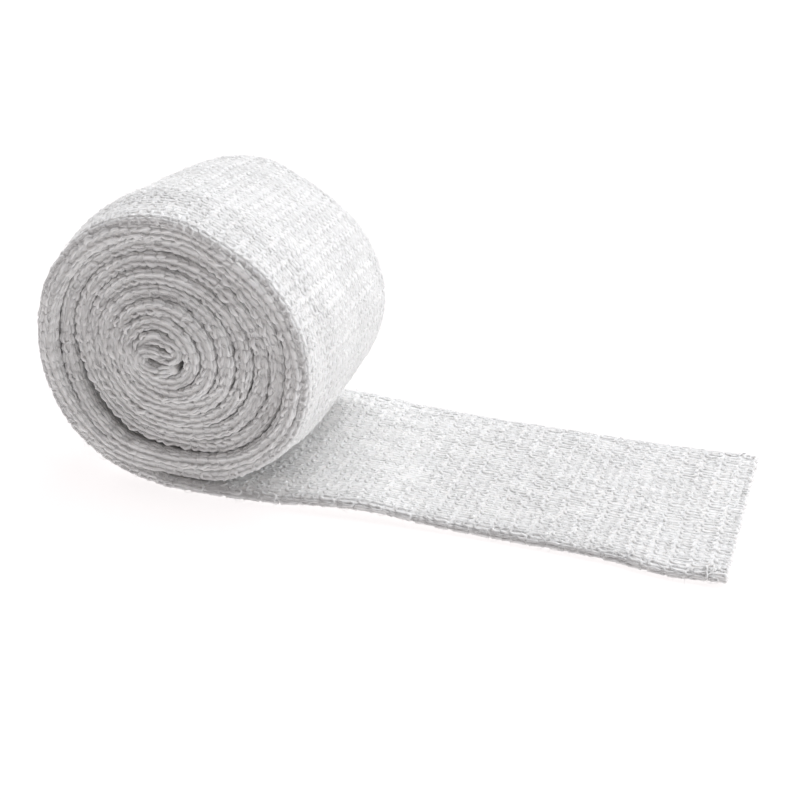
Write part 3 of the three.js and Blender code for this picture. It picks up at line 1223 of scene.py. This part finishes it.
@dataclass(frozen=True)
class Studio:
    """Pale floor, soft light from above, behind and both sides, and the camera."""

    focal_px: float = 1773.54
    frame_px: float = 800.0
    sensor_mm: float = 36.0
    pitch_deg: float = 27.4032
    yaw_deg: float = 18.8793
    eye_mm: Triple = (153.9443, -302.0985, 196.4508)
    floor_size: float = 12.0
    floor_grey: Colour = (0.25, 0.25, 0.25, 1)
    floor_roughness: float = 0.9
    floor_glow: Colour = (1.0, 0.965, 0.965, 1)
    floor_glow_strength: float = 0.84
    surroundings: float = 0.22
    surroundings_tint: Colour = (1.0, 0.905, 0.9, 1)
    backdrop: Colour = (1.0, 1.0, 1.0, 1)
    lamp_tint: Triple = (0.97, 0.985, 1.0)
    lamps_aim: Triple = (0.0, 0.0, 0.02)
    lamps: tuple[Lamp, ...] = (
        Lamp(name="key", where=(0.2, 0.5, 1.2), size=1.3, power=15.5),
        Lamp(name="right", where=(1.1, 0.15, 0.42), size=0.9, power=7.0),
        Lamp(name="left", where=(-1.0, 0.4, 0.6), size=0.9, power=5.8),
    )

    def place_camera(self) -> None:
        """Makes the camera at the photograph's viewing angle."""
        data = bpy.data.cameras.new("camera")
        data.sensor_width = self.sensor_mm
        data.lens = self.focal_px / self.frame_px * self.sensor_mm
        data.clip_start = 0.01
        data.clip_end = 100.0
        camera = bpy.data.objects.new("camera", data)
        camera.location = (np.array(self.eye_mm) + ROLL_FRAME_IN_MODEL) * MM
        camera.rotation_euler = (math.radians(90 - self.pitch_deg), 0, math.radians(self.yaw_deg))
        bpy.context.scene.collection.objects.link(camera)
        bpy.context.scene.camera = camera

    def lay_floor(self) -> None:
        """Makes the plain pale floor."""
        half = self.floor_size / 2
        mesh = bpy.data.meshes.new("floor")
        corners = [(-half, -half, 0), (half, -half, 0), (half, half, 0), (-half, half, 0)]
        mesh.from_pydata(corners, [], [(0, 1, 2, 3)])
        floor = bpy.data.objects.new("floor", mesh)
        material = bpy.data.materials.new("floor_white")
        material.use_nodes = True
        shader = material.node_tree.nodes["Principled BSDF"]
        set_inputs(shader, {
            "Base Color": self.floor_grey,
            "Roughness": self.floor_roughness,
            "Specular IOR Level": 0.0,
            "Emission Color": self.floor_glow,
            "Emission Strength": self.floor_glow_strength,
        })
        mesh.materials.append(material)
        bpy.context.scene.collection.objects.link(floor)

    def light_up(self) -> None:
        """Adds the soft lamps and the surroundings, which are plain white where the camera sees them."""
        scene = bpy.context.scene
        world = bpy.data.worlds.new("surroundings")
        world.use_nodes = True
        tree = world.node_tree
        background = tree.nodes["Background"]
        sight = new_node(tree, "ShaderNodeLightPath")
        tint = new_node(tree, "ShaderNodeMixRGB")
        set_inputs(tint, {"Color1": self.surroundings_tint, "Color2": self.backdrop})
        tree.links.new(sight.outputs["Is Camera Ray"], tint.inputs["Fac"])
        tree.links.new(tint.outputs["Color"], background.inputs["Color"])
        strength = new_node(tree, "ShaderNodeMapRange")
        set_inputs(strength, {"To Min": self.surroundings, "To Max": 1.0})
        tree.links.new(sight.outputs["Is Camera Ray"], strength.inputs["Value"])
        tree.links.new(strength.outputs["Result"], background.inputs["Strength"])
        scene.world = world
        for lamp in self.lamps:
            self.hang(lamp)
        scene.view_settings.view_transform = "Standard"

    def hang(self, lamp: Lamp) -> None:
        """Adds one lamp that looks towards the bandage.

        Args:
            lamp: The lamp.
        """
        data = bpy.data.lights.new(lamp.name, "AREA")
        data.size = lamp.size
        data.energy = lamp.power
        data.color = self.lamp_tint
        hung = bpy.data.objects.new(lamp.name, data)
        hung.location = lamp.where
        look = Vector(self.lamps_aim) - Vector(lamp.where)
        hung.rotation_euler = look.to_track_quat("-Z", "Y").to_euler()
        bpy.context.scene.collection.objects.link(hung)


@dataclass(frozen=True)
class Area:
    """A part of the tube that shows: the yarn loops and the loose fibres on it."""

    wales: Span
    fibres: int
    fibre_wales: Span
    yarn_sides: int = 5


FREE_END = Area(wales=(24.4, 53.6), fibres=1300, fibre_wales=(25, 53))
OUTER_TURN = Area(wales=(-1.7, 27.5), fibres=1700, fibre_wales=(-1.3, 27.3))
FRONT_FACE = Area(wales=(-1.9, 1.9), fibres=1700, fibre_wales=(-1.1, 1.1))
BACK_FACE = Area(wales=(24.4, 27.6), fibres=600, fibre_wales=(24.9, 27.1), yarn_sides=4)


@dataclass
class Bandage:
    """The whole bandage: the cloth and the loops of yarn on what shows of it."""

    tube: PressedTube = field(default_factory=PressedTube)
    outer_turns: float = 1.03

    def __post_init__(self) -> None:
        """Draws the stitches and makes the two finishes."""
        self.stitches = Stitches(self.tube)
        tone = CottonTone()
        self.yarn_material = COTTON_YARN.build(tone, StrandRelief())
        self.cloth_material = COTTON_CLOTH_PAINTED_SHADE.build(tone, KnitRelief())

    def _loops(self, name: str, area: Area, span: Span) -> Object:
        """Makes one piece of yarn loops.

        Args:
            name: The piece's name.
            area: The part of the tube that they lie on.
            span: Where they start and end along the tube.

        Returns:
            The piece.
        """
        shape = Shape()
        self.stitches.add(shape, span, area.wales, area.yarn_sides)
        return shape.piece(name, self.yarn_material)

    def _cut_edge(self) -> Object:
        """Makes the open loops and loose yarns at the cut.

        Returns:
            The piece.
        """
        shape = Shape()
        CutEdge(self.tube).add(shape)
        return shape.piece("cut_edge_yarns", self.yarn_material)

    def _fuzz(self, *areas: tuple[Area, Span]) -> Object:
        """Makes the loose fibres.

        Args:
            *areas: Parts of the tube, each with its span along it.

        Returns:
            The piece.
        """
        shape = Shape()
        fuzz = Fuzz(self.tube)
        for area, span in areas:
            fuzz.add(shape, area.fibres, span, area.fibre_wales)
        return shape.piece("loose_fibres", self.yarn_material)

    def build(self) -> None:
        """Makes all pieces, hides the CAD's roll and free end, and logs the tube's length."""
        tube = self.tube
        start, half, whole = (tube.along_at(turn) for turn in (0, 0.5, self.outer_turns))
        free, outer, inner = (0, start), (start, whole), (whole, tube.length)
        cloth = Cloth(tube).build(self.cloth_material)
        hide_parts("wound_roll", "free_end")
        loops = [
            self._loops("free_end_loops", FREE_END, free),
            self._loops("outer_turn_loops_left", OUTER_TURN, (start, half)),
            self._loops("outer_turn_loops_right", OUTER_TURN, (half, whole)),
            self._loops("front_face_loops", FRONT_FACE, inner),
            self._loops("back_face_loops", BACK_FACE, inner),
            self._cut_edge(),
            self._fuzz((FREE_END, free), (OUTER_TURN, outer), (FRONT_FACE, inner), (BACK_FACE, inner)),
        ]
        round(tube.length * MM, 4)
        log.info("bandage: %.1f mm of pressed tube", tube.length)


def main() -> None:
    """Builds the studio and the bandage."""
    studio = Studio()
    studio.place_camera()
    studio.lay_floor()
    studio.light_up()
    Bandage().build()


if __name__ == "__main__":
    main()
